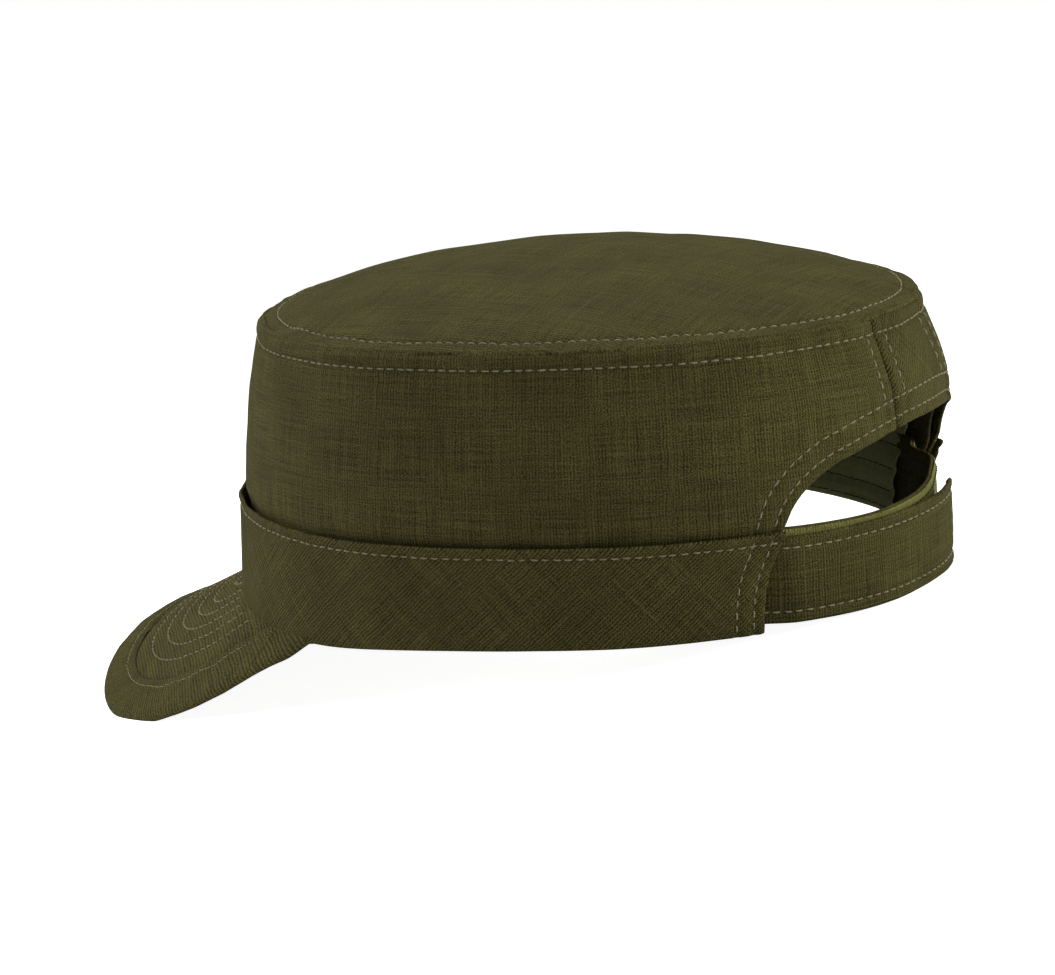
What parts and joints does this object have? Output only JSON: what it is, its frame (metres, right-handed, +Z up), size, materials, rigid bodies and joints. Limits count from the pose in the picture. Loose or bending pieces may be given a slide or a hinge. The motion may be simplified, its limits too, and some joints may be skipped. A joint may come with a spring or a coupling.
{
  "type": "military peaked cap",
  "caption": "Flat-topped field cap of ripstop cloth with a curved stiff peak, padded sweatband and an arched back opening closed by a hook-and-loop strap and tab.",
  "frame": {"origin": "bottom centre of the resting cap's bounding box", "axes": "+Z up, the cap standing on its peak and its strap; -Y to the wearer's front, +X to the wearer's left"},
  "size_m": [0.188, 0.264, 0.1102],
  "materials": {
    "shell_cloth": "olive ripstop weave, matt, raised reinforcing grid",
    "lining_cloth": "plain olive cotton tape, matt",
    "sweatband_cloth": "brushed olive cotton, quilted, matt",
    "interlining": "off-white stiff buckram",
    "padding": "soft wadding",
    "visor_board": "flexible sheet plastic",
    "loop_tape": "light olive looped pile",
    "hook_tape": "dark hooked pile"
  },
  "bodies": {
    "cap": {"crown_top": "shell_cloth", "crown_side": "shell_cloth", "crown_rear": "shell_cloth", "crown_seam_tape": "lining_cloth", "rear_seam_tapes": "lining_cloth", "arch_facing": "lining_cloth", "band_outer": "shell_cloth", "band_interlining": "interlining", "sweatband_padding": "padding", "sweatband": "sweatband_cloth", "visor_top_cloth": "shell_cloth", "visor_under_cloth": "shell_cloth", "visor_board": "visor_board", "visor_border": "shell_cloth", "strap_sewn_end": "shell_cloth", "tab_sewn_end": "shell_cloth"},
    "strap": {"strap_cloth": "shell_cloth", "strap_hook_tape": "hook_tape"},
    "tab": {"tab_cloth": "shell_cloth", "tab_loop_tape": "loop_tape"}
  },
  "joints": [
    {"name": "strap_peel", "type": "hinge", "parent": "cap", "child": "strap", "pos_m": [0.0548, 0.10423, 0.00338], "axis": [0, 0, -1], "range_deg": [0, 75]},
    {"name": "tab_flex", "type": "hinge", "parent": "cap", "child": "tab", "pos_m": [-0.0548, 0.09713, 0.0062], "axis": [0, 0, -1], "range_deg": [0, 35]}
  ]
}
